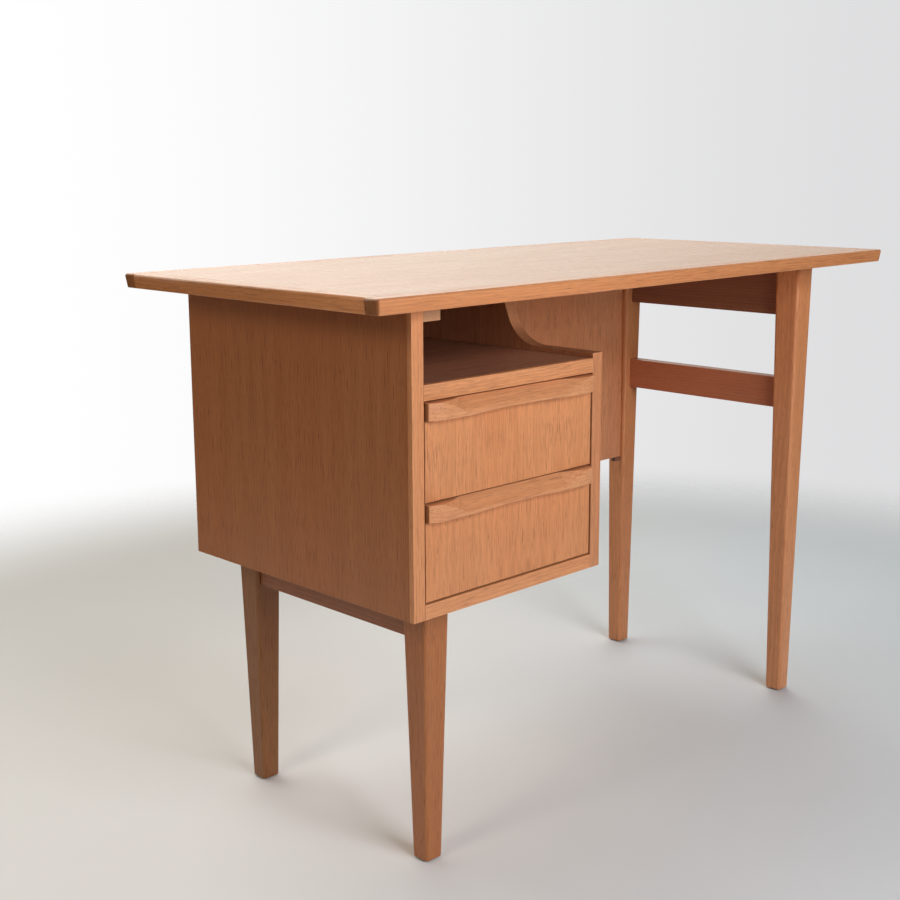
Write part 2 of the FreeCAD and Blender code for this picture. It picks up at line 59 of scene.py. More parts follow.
def add_node(tree, kind, **values):
    """One shader node. Values are its own properties, or inputs by name."""
    node = tree.nodes.new(kind)
    for key, value in values.items():
        if hasattr(node, key):
            setattr(node, key, value)
        else:
            node.inputs[key.replace("_", " ")].default_value = value
    return node


def feed(tree, socket, value):
    """Link an input to a socket, or set it to a constant."""
    if isinstance(value, bpy.types.NodeSocket):
        tree.links.new(value, socket)
    else:
        socket.default_value = value


def math_node(tree, operation, first, second=None, clamp=False):
    """A math node fed by sockets or numbers; returns its output socket."""
    node = add_node(tree, "ShaderNodeMath", operation=operation, use_clamp=clamp)
    feed(tree, node.inputs[0], first)
    if second is not None:
        feed(tree, node.inputs[1], second)
    return node.outputs[0]


def vector_math(tree, operation, first, second=None):
    """A vector math node fed by sockets or vectors; returns the node."""
    node = add_node(tree, "ShaderNodeVectorMath", operation=operation)
    feed(tree, node.inputs[0], first)
    if second is not None:
        feed(tree, node.inputs[1], second)
    return node


def agreement(tree, first, second):
    """Dot product of two directions, each a socket or a vector."""
    return vector_math(tree, "DOT_PRODUCT", first, second).outputs["Value"]


def remap(tree, value, low, high, to_low=0.0, to_high=1.0):
    """A smooth step of a socket between two levels."""
    node = add_node(tree, "ShaderNodeMapRange", interpolation_type="SMOOTHSTEP", From_Min=low,
                    From_Max=high, To_Min=to_low, To_Max=to_high)
    tree.links.new(value, node.inputs["Value"])
    return node.outputs[0]


def stretched_noise(tree, vector, stretch, detail):
    """Noise of a vector scaled by a different amount along each axis."""
    scaled = vector_math(tree, "MULTIPLY", vector, stretch)
    noise = add_node(tree, "ShaderNodeTexNoise", Scale=1.0, Detail=detail)
    tree.links.new(scaled.outputs[0], noise.inputs["Vector"])
    return noise.outputs["Fac"]


def blend_colour(tree, factor, first, second, mode="MIX"):
    """Two colours blended by a factor; each is a socket or an RGBA tuple."""
    node = add_node(tree, "ShaderNodeMix", data_type="RGBA", blend_type=mode)
    colour_a, colour_b = node.inputs[6], node.inputs[7]
    for socket, value in ((node.inputs["Factor"], factor), (colour_a, first), (colour_b, second)):
        feed(tree, socket, value)
    return node.outputs[2]


def heading(azimuth, elevation):
    """Unit vector of an azimuth from +Y towards +X, and an elevation, in degrees."""
    azimuth, elevation = math.radians(azimuth), math.radians(elevation)
    return Vector((math.sin(azimuth) * math.cos(elevation), math.cos(azimuth) * math.cos(elevation),
                   math.sin(elevation)))


# ---------------------------------------------------------------- wood

# Noises drawn out along the grain: cycles per metre across it and along it, detail, and the stretch
# of noise over which the effect goes from none to full.
GRAIN_NOISES = {
    "streak": (380.0, 6.0, 3.0, (0.33, 0.67)),
    "broad streak": (48.0, 1.6, 2.0, (0.34, 0.66)),
    "fine pore": (1700.0, 60.0, 1.0, (0.57, 0.70)),
    "pore dash": (850.0, 26.0, 1.0, (0.58, 0.72)),
    "warm patch": (11.0, 0.9, 1.5, (0.32, 0.68)),
    "sheen": (160.0, 7.0, 2.0, (0.30, 0.70)),
    # Noise for the paler edges, rubbed wear and painted highlight.
    "wear_and_highlight": (60.0, 60.0, 3.0, (0.35, 0.65)),
}
# Growth rings wander off a circle slowly and quiver quickly: cycles per metre, and how far.
RING_SWAY = (7.0, 7.0, 1.1)
RING_SWAY_REACH = 30.0 * MM
RING_QUIVER = (70.0, 70.0, 4.0)
RING_QUIVER_REACH = 1.6 * MM
# Along one ring: where late wood darkens, where it ends, and where the pores of early wood thin out.
LATE_WOOD_DARKENS = (0.05, 0.80)
LATE_WOOD_ENDS = (1.0, 0.86)
PORES_THIN = (0.55, 0.05)
LATE_PORES = 0.35
BROAD_SHARE = 0.55
DASH_DEPTH = 0.75
STREAK_HEIGHT = -0.25


def grain_noise(tree, vector, name, to_low=0.0, to_high=1.0):
    """One of the grain noises, running between two levels."""
    across, along, detail, (low, high) = GRAIN_NOISES[name]
    noise = stretched_noise(tree, vector, (across, across, along), detail)
    return remap(tree, noise, low, high, to_low, to_high)


def make_wood_group():
    """Node group of a solid block of wood whose grain runs along Z, in metres.

    Rings lie round a pith that is off to one side, so long faces show long figure and cut ends
    show arcs. Streaks and pores are drawn out along the grain.
    """
    tree = bpy.data.node_groups.new("solid_wood", "ShaderNodeTree")
    face = tree.interface
    face.new_socket("Vector", in_out="INPUT", socket_type="NodeSocketVector")
    for name in ("Pith X", "Pith Y", "Ring Width", "Figure", "Streaks", "Pores", "Tone"):
        face.new_socket(name, in_out="INPUT", socket_type="NodeSocketFloat")
    for name in ("Light", "Dark", "Warm", "Pore"):
        face.new_socket(name, in_out="INPUT", socket_type="NodeSocketColor")
    face.new_socket("Colour", in_out="OUTPUT", socket_type="NodeSocketColor")
    for name in ("Height", "Pore Mask"):
        face.new_socket(name, in_out="OUTPUT", socket_type="NodeSocketFloat")
    inside = tree.nodes.new("NodeGroupInput").outputs
    outside = tree.nodes.new("NodeGroupOutput").inputs
    place = inside["Vector"]

    # Growth rings: pale early wood, then dark late wood that ends at once.
    axes = tree.nodes.new("ShaderNodeSeparateXYZ")
    tree.links.new(place, axes.inputs[0])
    off_x = math_node(tree, "SUBTRACT", axes.outputs[0], inside["Pith X"])
    off_y = math_node(tree, "SUBTRACT", axes.outputs[1], inside["Pith Y"])
    squared = math_node(tree, "ADD", math_node(tree, "MULTIPLY", off_x, off_x),
                        math_node(tree, "MULTIPLY", off_y, off_y))
    radius = math_node(tree, "SQRT", squared)
    for stretch, reach in ((RING_SWAY, RING_SWAY_REACH), (RING_QUIVER, RING_QUIVER_REACH)):
        shift = math_node(tree, "MULTIPLY", stretched_noise(tree, place, stretch, detail=2.0), reach)
        radius = math_node(tree, "ADD", radius, shift)
    ring = math_node(tree, "FRACT", math_node(tree, "DIVIDE", radius, inside["Ring Width"]))
    late_wood = math_node(tree, "MULTIPLY", remap(tree, ring, *LATE_WOOD_DARKENS),
                          remap(tree, ring, *LATE_WOOD_ENDS))
    early_wood = remap(tree, ring, *PORES_THIN, LATE_PORES, 1.0)

    streak = grain_noise(tree, place, "streak")
    broad = grain_noise(tree, place, "broad streak")
    fine_pore = math_node(tree, "MULTIPLY", grain_noise(tree, place, "fine pore"), early_wood)
    dash = math_node(tree, "MULTIPLY", grain_noise(tree, place, "pore dash"), DASH_DEPTH)
    pores = math_node(tree, "MULTIPLY", math_node(tree, "MAXIMUM", fine_pore, dash), inside["Pores"])

    shade = math_node(tree, "MULTIPLY", late_wood, inside["Figure"])
    lines = math_node(tree, "ADD", math_node(tree, "MULTIPLY", streak, 1.0 - BROAD_SHARE),
                      math_node(tree, "MULTIPLY", broad, BROAD_SHARE))
    lines = math_node(tree, "MULTIPLY", lines, inside["Streaks"])
    shade = math_node(tree, "ADD", shade, lines, clamp=True)
    warmth = math_node(tree, "MULTIPLY", grain_noise(tree, place, "warm patch"), inside["Tone"])
    colour = blend_colour(tree, shade, inside["Light"], inside["Dark"])
    colour = blend_colour(tree, warmth, colour, inside["Warm"])
    colour = blend_colour(tree, pores, colour, inside["Pore"])
    tree.links.new(colour, outside["Colour"])
    raised = math_node(tree, "SUBTRACT", math_node(tree, "MULTIPLY", streak, STREAK_HEIGHT), pores)
    tree.links.new(raised, outside["Height"])
    tree.links.new(pores, outside["Pore Mask"])
    return tree


wood_group = make_wood_group()

# Linear colours of each finish: light wood, dark figure, warm patches and open pores. Figure,
# Streaks, Pores and Tone say how strongly each of them shows.
FINISHES = {
    "solid": {"Light": (0.600, 0.300, 0.150), "Dark": (0.430, 0.185, 0.080), "Warm": (0.560, 0.235, 0.105),
              "Pore": (0.230, 0.085, 0.035), "Figure": 0.38, "Streaks": 0.36, "Pores": 0.72, "Tone": 0.50,
              "Ring Width": 0.0042},
    "veneer": {"Light": (0.580, 0.285, 0.145), "Dark": (0.400, 0.170, 0.074),
               "Warm": (0.520, 0.215, 0.095), "Pore": (0.210, 0.075, 0.030), "Figure": 0.26,
               "Streaks": 0.38, "Pores": 0.80, "Tone": 0.60, "Ring Width": 0.0034},
    "top veneer": {"Light": (0.580, 0.285, 0.145), "Dark": (0.430, 0.190, 0.086),
                   "Warm": (0.540, 0.240, 0.112), "Pore": (0.260, 0.105, 0.046), "Figure": 0.22,
                   "Streaks": 0.26, "Pores": 0.45, "Tone": 0.55, "Ring Width": 0.0034},
    "rail": {"Light": (0.470, 0.170, 0.075), "Dark": (0.330, 0.105, 0.045), "Warm": (0.420, 0.125, 0.050),
             "Pore": (0.170, 0.050, 0.022), "Figure": 0.40, "Streaks": 0.45, "Pores": 0.50, "Tone": 0.55,
             "Ring Width": 0.0045},
    "inner": {"Light": (0.520, 0.330, 0.180), "Dark": (0.420, 0.240, 0.120), "Warm": (0.480, 0.270, 0.140),
              "Pore": (0.260, 0.140, 0.070), "Figure": 0.40, "Streaks": 0.35, "Pores": 0.30, "Tone": 0.40,
              "Ring Width": 0.0038},
    "plywood": {"Light": (0.500, 0.320, 0.180), "Dark": (0.400, 0.235, 0.125), "Warm": (0.450, 0.260, 0.140),
                "Pore": (0.280, 0.150, 0.080), "Figure": 0.25, "Streaks": 0.45, "Pores": 0.25, "Tone": 0.50,
                "Ring Width": 0.0060},
    "block": {"Light": (0.240, 0.100, 0.052), "Dark": (0.140, 0.056, 0.030), "Warm": (0.190, 0.070, 0.036),
              "Pore": (0.070, 0.028, 0.016), "Figure": 0.45, "Streaks": 0.45, "Pores": 0.50, "Tone": 0.40,
              "Ring Width": 0.0040},
}

# How light or red each group of boards is against its finish. Some also paint light and shade: the left legs
# and left panel are darker in painted shade, the back left leg darkest in a painted shadow, the deck and
# right strip darker in painted shade, and the right panel and back lighter, painted light on the shaded
# inside of the cabinet.
TONES = {
    "top": (1.06, 1.02, 0.97),
    "lipping": (1.26, 1.12, 0.95),
    # Painted shade: the left legs are darker than the right ones, the back left one darkest.
    "front left leg": (0.79, 0.62, 0.41),
    "back left leg": (0.51, 0.41, 0.21),
    "front right leg": (1.24, 1.09, 0.94),
    "back right leg": (1.10, 0.94, 0.76),
    # Painted shade on the left panel; painted light on the right panel.
    "left panel": (0.88, 0.71, 0.53),
    "right panel": (1.15, 1.10, 1.05),
    "strip": (1.30, 1.20, 1.06),
    # Painted shade: the right strip and the deck are darker.
    "right strip": (1.10, 0.99, 0.91),
    "deck": (0.68, 0.68, 0.84),
    "drawer": (1.30, 1.19, 1.00),
    "handle": (1.28, 1.24, 1.16),
    "modesty": (1.11, 1.01, 0.94),
    "side rail": (0.80, 0.86, 0.82),
    "upper rail": (0.64, 0.72, 0.85),
    "stretcher": (1.16, 1.20, 1.30),
    # Painted light: the back is lighter.
    "back": (1.36, 1.34, 1.36),
    "cleat": (1.14, 1.01, 1.00),
    "plain": (1.00, 1.00, 1.00),
}

GRAIN_AXIS = {"x": (1.0, 0.0, 0.0), "y": (0.0, 1.0, 0.0), "z": (0.0, 0.0, 1.0)}
GRAIN_TURN = {"x": (0.0, math.radians(-90), 0.0), "y": (math.radians(90), 0.0, 0.0), "z": (0.0, 0.0, 0.0)}
# Each piece is cut from a place in the tree at most this far from its middle, in metres.
TREE_REACH = 3.0
VENEER_LEAF = 115.0 * MM
# What sawn ends multiply the colour by, and how squarely a face crosses the grain to be one.
END_GRAIN = (0.50, 0.47, 0.44, 1.0)
END_GRAIN_SHOWS = (0.45, 0.85)
# How far out of a seam the darkening reaches, and the shares of open air that are darkened and clean. The
# darkening is partly dust and partly painted shade in the crevices.
DUST_AND_SHADE_REACH = 2.5 * MM
# Painted shadow under the handle noses: on the drawer fronts the darkening reaches this far.
HANDLE_SHADOW_REACH = 9.0 * MM
DUST_AND_SHADE_OPENS = (0.25, 0.75)
# Edges are paler where the normal, rounded over this radius, leaves the real one: partly rubbed wear, partly
# a painted highlight.
WEAR_AND_HIGHLIGHT_RADIUS = 2.2 * MM
WEAR_AND_HIGHLIGHT_SHOWS = (0.99, 0.80)
WEAR_AND_HIGHLIGHT_SHARE = 0.35
WEAR_AND_HIGHLIGHT_LIFT = 1.25
# Roughness about the gloss: how far sheen takes it down and up, and how much pores add.
SHEEN_FALL = 0.14
SHEEN_RISE = 0.20
PORE_ROUGHNESS = 0.5
PORE_DEPTH = 0.35 * MM


def toned(colour, tone, lift=1.0):
    """A colour made lighter or redder by a tone, as RGBA."""
    return tuple(min(1.0, part * share * lift) for part, share in zip(colour, tone)) + (1.0,)


def new_material(name):
    """A material, its node tree and its shader."""
    material = bpy.data.materials.new(name)
    material.use_nodes = True
    return material, material.node_tree, material.node_tree.nodes["Principled BSDF"]


def add_bump(tree, shader, height, strength, distance):
    """Fine relief on a shader's normal."""
    bump = add_node(tree, "ShaderNodeBump", Strength=strength, Distance=distance)
    tree.links.new(height, bump.inputs["Height"])
    tree.links.new(bump.outputs[0], shader.inputs["Normal"])


def folded(tree, vector, leaf):
    """Veneer leaves laid side by side, each the mirror image of the one before."""
    split = tree.nodes.new("ShaderNodeSeparateXYZ")
    tree.links.new(vector, split.inputs[0])
    joined = tree.nodes.new("ShaderNodeCombineXYZ")
    for axis in (0, 1):
        tree.links.new(math_node(tree, "PINGPONG", split.outputs[axis], leaf), joined.inputs[axis])
    tree.links.new(split.outputs[2], joined.inputs[2])
    return joined.outputs[0]


def wood(name, finish, grain, pith=(0.11, 0.06), gloss=0.40, tone=TONES["plain"], thirst=1.0, relief=0.35,
         reach=DUST_AND_SHADE_REACH):
    """Oak cut from its own place in the tree, with its grain along one axis of the desk.

    Thirst is how much darker its cut ends are, and reach is how far out of a seam the dust and painted shade
    reach.
    """
    draws = random.Random(name)
    material, tree, shader = new_material(name)
    where = tree.nodes.new("ShaderNodeTexCoord")
    turned = add_node(tree, "ShaderNodeMapping", Rotation=GRAIN_TURN[grain],
                      Location=tuple(draws.uniform(-TREE_REACH, TREE_REACH) for _ in range(3)))
    tree.links.new(where.outputs["Object"], turned.inputs["Vector"])
    block = tree.nodes.new("ShaderNodeGroup")
    block.node_tree = wood_group
    for key, value in FINISHES[finish].items():
        block.inputs[key].default_value = toned(value, tone) if isinstance(value, tuple) else value
    if "veneer" in finish:
        tree.links.new(folded(tree, turned.outputs[0], VENEER_LEAF), block.inputs["Vector"])
        centre = (0.0, 0.0)
    else:
        tree.links.new(turned.outputs[0], block.inputs["Vector"])
        centre = turned.inputs["Location"].default_value
    block.inputs["Pith X"].default_value = centre[0] + pith[0]
    block.inputs["Pith Y"].default_value = centre[1] + pith[1]

    # Sawn ends drink more oil than long faces, so they are darker.
    along = math_node(tree, "ABSOLUTE", agreement(tree, where.outputs["Normal"], GRAIN_AXIS[grain]))
    end_grain = math_node(tree, "MULTIPLY", remap(tree, along, *END_GRAIN_SHOWS), thirst)
    long_and_end = blend_colour(tree, end_grain, block.outputs["Colour"], END_GRAIN, "MULTIPLY")

    # Seams are darkened, partly by dust and old polish, partly by painted shade in the crevices.
    seam = add_node(tree, "ShaderNodeAmbientOcclusion", samples=4, Distance=reach)
    open_air = remap(tree, seam.outputs["AO"], *DUST_AND_SHADE_OPENS)
    dusted_and_shaded = blend_colour(tree, open_air, toned(FINISHES[finish]["Pore"], tone), long_and_end)

    # Paler edges where the rounded normal leaves the real one: partly a thinner, rubbed finish, partly a
    # painted highlight on the arrises.
    rounded = add_node(tree, "ShaderNodeBevel", samples=4, Radius=WEAR_AND_HIGHLIGHT_RADIUS)
    geometry = tree.nodes.new("ShaderNodeNewGeometry")
    edge = remap(tree, agreement(tree, rounded.outputs[0], geometry.outputs["Normal"]), *WEAR_AND_HIGHLIGHT_SHOWS)
    wear_and_highlight = math_node(tree, "MULTIPLY", edge, grain_noise(tree, where.outputs["Object"], "wear_and_highlight"))
    worn_and_highlit = math_node(tree, "MULTIPLY", wear_and_highlight, WEAR_AND_HIGHLIGHT_SHARE)
    highlit_pale = toned(FINISHES[finish]["Light"], tone, WEAR_AND_HIGHLIGHT_LIFT)
    tree.links.new(blend_colour(tree, worn_and_highlit, dusted_and_shaded, highlit_pale), shader.inputs["Base Color"])

    smoothest, roughest = gloss - SHEEN_FALL * relief, gloss + SHEEN_RISE * relief
    sheen = grain_noise(tree, turned.outputs[0], "sheen", smoothest, roughest)
    open_pores = math_node(tree, "MULTIPLY", block.outputs["Pore Mask"], PORE_ROUGHNESS * relief)
    tree.links.new(math_node(tree, "ADD", sheen, open_pores), shader.inputs["Roughness"])
    add_bump(tree, shader, block.outputs["Height"], relief, PORE_DEPTH)
    return material


def moulded_plastic(name):
    """Dark brown moulded plastic with a faint mottle."""
    material, tree, shader = new_material(name)
    where = tree.nodes.new("ShaderNodeTexCoord")
    mottle = stretched_noise(tree, where.outputs["Object"], (400.0, 400.0, 400.0), detail=3.0)
    brown, black = (0.060, 0.036, 0.024, 1.0), (0.030, 0.018, 0.012, 1.0)
    tree.links.new(blend_colour(tree, mottle, brown, black), shader.inputs["Base Color"])
    tree.links.new(remap(tree, mottle, 0.3, 0.7, 0.44, 0.58), shader.inputs["Roughness"])
    add_bump(tree, shader, mottle, 0.2, 0.1 * MM)
    return material


def brushed_steel(name):
    """Zinc-plated steel with fine turning marks."""
    material, tree, shader = new_material(name)
    shader.inputs["Metallic"].default_value = 1.0
    where = tree.nodes.new("ShaderNodeTexCoord")
    marks = stretched_noise(tree, where.outputs["Object"], (300.0, 300.0, 2500.0), detail=3.0)
    bright, dull = (0.62, 0.60, 0.56, 1.0), (0.42, 0.40, 0.36, 1.0)
    tree.links.new(blend_colour(tree, marks, bright, dull), shader.inputs["Base Color"])
    tree.links.new(remap(tree, marks, 0.3, 0.7, 0.28, 0.42), shader.inputs["Roughness"])
    return material


# ---------------------------------------------------------------- mesh helpers

WELD = 0.01 * MM
FLAT_ANGLE = math.radians(1.0)
ARRIS_ANGLE = math.radians(25.0)
# Edges of bores are short chords; only longer edges are rounded over.
SHORTEST_ARRIS = 3.0 * MM
ARRIS_SEGMENTS = 3
CORNER_STEPS = 8


def finish_piece(work, node, material):
    """Turn a bmesh into a piece that stands for one CAD node and rides on its body."""
    bmesh.ops.recalc_face_normals(work, faces=work.faces)
    mesh = bpy.data.meshes.new(node + "_wood")
    work.to_mesh(mesh)
    work.free()
    mesh.materials.append(material)
    piece = bpy.data.objects.new(node + "_wood", mesh)
    scene.collection.objects.link(piece)
    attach(piece, body_of_node[node])
    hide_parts(node)
    return piece


def make_board(node, material, ease):
    """Copy of a CAD board with clean faces and its long arrises rounded over."""
    work = bmesh.new()
    work.from_mesh(nodes[node].data)
    bmesh.ops.remove_doubles(work, verts=work.verts, dist=WELD)
    bmesh.ops.dissolve_limit(work, angle_limit=FLAT_ANGLE, verts=work.verts, edges=work.edges)
    arrises = [edge for edge in work.edges if len(edge.link_faces) == 2
               and edge.calc_face_angle() > ARRIS_ANGLE and edge.calc_length() > SHORTEST_ARRIS]
    for face in work.faces:
        face.smooth = False
    made = bmesh.ops.bevel(work, geom=arrises, offset=ease, segments=ARRIS_SEGMENTS, profile=0.5,
                           affect="EDGES", clamp_overlap=True, offset_type="OFFSET")
    for face in made["faces"]:
        face.smooth = True
    return finish_piece(work, node, material)


def loft(outlines):
    """Closed tube through rings of points, capped at both ends; returns it and its side faces."""
    work = bmesh.new()
    rings = [[work.verts.new(point) for point in outline] for outline in outlines]
    sides = []
    for low, high in zip(rings, rings[1:]):
        for index in range(len(low)):
            after = (index + 1) % len(low)
            sides.append(work.faces.new((low[index], low[after], high[after], high[index])))
    work.faces.new(list(reversed(rings[0])))
    work.faces.new(rings[-1])
    return work, sides


def rounded_outline(centre_x, centre_y, level, half_x, half_y, radius):
    """Corner-rounded rectangle about a centre at one level, anticlockwise."""
    points = []
    for corner, (sign_x, sign_y) in enumerate(((1, 1), (-1, 1), (-1, -1), (1, -1))):
        for step in range(CORNER_STEPS + 1):
            angle = math.radians(90) * (corner + step / CORNER_STEPS)
            x = sign_x * (half_x - radius) + radius * math.cos(angle)
            y = sign_y * (half_y - radius) + radius * math.sin(angle)
            points.append((centre_x + x, centre_y + y, level))
    return points


# ---------------------------------------------------------------- table top

TOP_SLOPE = 2.0 * MM
TOP_ARRIS = 3.0 * MM
TOP_ARRIS_STEPS = 6
TOP_CORNER = 5.0 * MM
LEAST_CORNER = 1.0 * MM
LOWER_ARRIS = 0.9 * MM
LOWER_ARRIS_STEPS = 3
JOINT_EASE = 0.12 * MM
TOP_GLOSS = 0.28
TOP_RELIEF = 0.12


def slab(low, high):
    """The whole top: sloping edges, a rounded upper arris and an eased lower one."""
    thick = high.z - low.z
    profile = []
    for step in range(LOWER_ARRIS_STEPS + 1):
        angle = math.radians(90) * step / LOWER_ARRIS_STEPS
        inset = TOP_SLOPE + LOWER_ARRIS * (1 - math.sin(angle))
        profile.append((inset, LOWER_ARRIS * (1 - math.cos(angle))))
    for step in range(TOP_ARRIS_STEPS + 1):
        angle = math.radians(90) * step / TOP_ARRIS_STEPS
        profile.append((TOP_ARRIS * (1 - math.cos(angle)), thick - TOP_ARRIS * (1 - math.sin(angle))))
    outlines = []
    for inset, rise in profile:
        sloped_in = TOP_SLOPE * max(0.0, 1.0 - rise / thick)
        radius = max(LEAST_CORNER, TOP_CORNER - max(0.0, inset - sloped_in))
        outlines.append(rounded_outline((low.x + high.x) / 2, (low.y + high.y) / 2, low.z + rise,
                                        (high.x - low.x) / 2 - inset, (high.y - low.y) / 2 - inset, radius))
    work, sides = loft(outlines)
    for face in sides:
        face.smooth = True
    return work


def cut_slab(node, bounds, low, high, material):
    """One board of the top: the slab between planes, its sawn sides eased by a hair."""
    work = slab(low, high)
    for axis, (keep_from, keep_to) in enumerate(bounds):
        for level, direction in ((keep_from, -1), (keep_to, 1)):
            if level is None:
                continue
            normal = Vector([direction if index == axis else 0 for index in range(3)])
            point = Vector([level if index == axis else 0 for index in range(3)])
            sawn = bmesh.ops.bisect_plane(work, geom=work.verts[:] + work.edges[:] + work.faces[:],
                                          plane_co=point, plane_no=normal, clear_outer=True)
            rim = [item for item in sawn["geom_cut"] if isinstance(item, bmesh.types.BMEdge)]
            bmesh.ops.edgeloop_fill(work, edges=rim)
            bmesh.ops.bevel(work, geom=rim, offset=JOINT_EASE, segments=1, affect="EDGES")
    return finish_piece(work, node, material)


def make_top():
    """Core board and the four lippings."""
    core_low, core_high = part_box("top_core_board")
    zones = {
        "top_core_board": ((core_low.x, core_high.x), (core_low.y, core_high.y)),
        "top_front_lipping": ((None, None), (None, core_low.y)),
        "top_back_lipping": ((None, None), (core_high.y, None)),
        "top_left_lipping": ((None, core_low.x), (core_low.y, core_high.y)),
        "top_right_lipping": ((core_high.x, None), (core_low.y, core_high.y)),
    }
    boxes = [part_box(node) for node in zones]
    low = Vector([min(box[0][axis] for box in boxes) for axis in range(3)])
    high = Vector([max(box[1][axis] for box in boxes) for axis in range(3)])
    for node, bounds in zones.items():
        if node == "top_core_board":
            material = wood(node, "top veneer", "x", (0.30, 0.02), TOP_GLOSS, TONES["top"],
                            relief=TOP_RELIEF)
        else:
            grain = "y" if node in ("top_left_lipping", "top_right_lipping") else "x"
            material = wood(node, "solid", grain, (0.05, 0.07), TOP_GLOSS, TONES["lipping"])
        cut_slab(node, bounds, low, high, material)


# ---------------------------------------------------------------- legs

LEG_ROUNDING = 5.0 * MM
FOOT_EASE = 1.2 * MM
LEG_LEVELS = 10


def make_leg(node, material):
    """Tapered leg with rounded arrises and an eased foot."""
    low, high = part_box(node)
    height = high.z - low.z
    foot = [vertex.co.x for vertex in nodes[node].data.vertices if vertex.co.z < low.z + 0.1 * MM]
    half_foot, half_head = (max(foot) - min(foot)) / 2, (high.x - low.x) / 2
    levels = [(0.0, FOOT_EASE), (0.3 * FOOT_EASE, 0.3 * FOOT_EASE), (FOOT_EASE, 0.0)]
    levels += [(height * step / LEG_LEVELS, 0.0) for step in range(1, LEG_LEVELS + 1)]
    outlines = []
    for rise, inset in levels:
        half = half_foot + (half_head - half_foot) * rise / height - inset
        outlines.append(rounded_outline((low.x + high.x) / 2, (low.y + high.y) / 2, low.z + rise,
                                        half, half, LEG_ROUNDING - inset))
    work, sides = loft(outlines)
    narrow = 0.5 * LEG_ROUNDING * height / LEG_LEVELS
    for face in sides:
        face.smooth = face.calc_area() < narrow
    return finish_piece(work, node, material)


# ---------------------------------------------------------------- handles

# How far a handle rail stands out from the drawer front, along its middle and at its ends, and the
# length of each end over which it curves in.
REACH = 12.7 * MM
END_REACH = 6.1 * MM
END_RUN = 30.0 * MM
# The slope along the upper front arris grows over the length of the plain tongue at each end.
TONGUE = 57.0 * MM
SLOPE_LEG = 16.0 * MM
# The finger groove under the rail, and how far the nose in front of it rises towards the middle.
GROOVE_FRONT = 8.7 * MM
GROOVE_BACK = 0.7 * MM
GROOVE_DEPTH = 5.5 * MM
GROOVE_FADE = 9.0 * MM
NOSE_LIFT = 2.5 * MM
NOSE_RUN = 70.0 * MM
# Radii of a section's corners, and how much rounder the upper front one is in the middle.
CORNER_RADII = [0.5 * MM, 0.8 * MM, 2.0 * MM, 2.0 * MM, 0.8 * MM, 2.2 * MM, 0.5 * MM, 0.7 * MM, 0.5 * MM]
SLOPE_CORNER = 6
SLOPE_SOFTNESS = 4.9 * MM
SOFT_FROM_END = 1.6 * TONGUE
ARC_STEPS = 4
# Sections are close together near the ends and sparse in the middle. The outermost are trimmed all
# round, which eases the ends: distance from the end, and trim.
END_TRIMS = {0.0: 0.5 * MM, 0.15 * MM: 0.15 * MM, 0.5 * MM: 0.0}
CLOSE_STEP = 1.5 * MM
CLOSE_COUNT = 56
SPARSE_COUNT = 12
HANDLE_CREASE = math.radians(32.0)


def smooth_step(value):
    """Eases from 0 to 1 as the value goes from 0 to 1."""
    value = min(1.0, max(0.0, value))
    return value * value * (3 - 2 * value)


def round_corners(points, radii):
    """A closed section whose corners are arcs, each cut back to fit its shorter side."""
    rounded = []
    count = len(points)
    for index, (point, radius) in enumerate(zip(points, radii)):
        before, after = points[index - 1], points[(index + 1) % count]
        to_before, to_after = before - point, after - point
        room = 0.45 * min(to_before.length, to_after.length)
        if room < 1e-7:
            rounded.extend([point.copy()] * (ARC_STEPS + 1))
            continue
        to_before.normalize()
        to_after.normalize()
        half_angle = math.acos(max(-1.0, min(1.0, to_before.dot(to_after)))) / 2
        setback = min(room, radius / max(1e-6, math.tan(half_angle)))
        start, end = point + to_before * setback, point + to_after * setback
        for step in range(ARC_STEPS + 1):
            share = step / ARC_STEPS
            near = start.lerp(point, share)
            far = point.lerp(end, share)
            rounded.append(near.lerp(far, share))
    return rounded


def arc_fall(run, fall, distance):
    """How far an arc has left its tangent at a distance, if it has left it by fall at the run's end."""
    radius = (run ** 2 + fall ** 2) / (2 * fall)
    return radius - math.sqrt(radius ** 2 - distance ** 2)


def handle_section(from_end, height, back, trim):
    """Section of the handle rail at a distance from its nearer end, seen along X, as (y, z)."""
    reach = REACH - arc_fall(END_RUN, REACH - END_REACH, max(0.0, END_RUN - from_end)) - trim
    slope = math.sqrt(2) * arc_fall(TONGUE, SLOPE_LEG / math.sqrt(2), min(from_end, TONGUE))
    slope = max(0.02 * MM, slope - (REACH - reach))
    groove = GROOVE_DEPTH * smooth_step((from_end - TONGUE) / GROOVE_FADE)
    low, top = trim, height - trim
    nose = low + NOSE_LIFT * smooth_step((from_end - TONGUE) / NOSE_RUN)
    points = [(back - trim, low), (-GROOVE_BACK, low), (-GROOVE_BACK, low + groove),
              (-GROOVE_FRONT, low + groove), (-GROOVE_FRONT, nose), (-reach, nose),
              (-reach, top - slope), (-reach + slope, top), (back - trim, top)]
    if reach < GROOVE_FRONT:
        points[3] = points[4] = (-0.5 * (reach + GROOVE_BACK), low)
        points[2] = (-GROOVE_BACK, low)
    radii = list(CORNER_RADII)
    radii[SLOPE_CORNER] += SLOPE_SOFTNESS * smooth_step((from_end - END_RUN) / (SOFT_FROM_END - END_RUN))
    return round_corners([Vector(point) for point in points], radii)


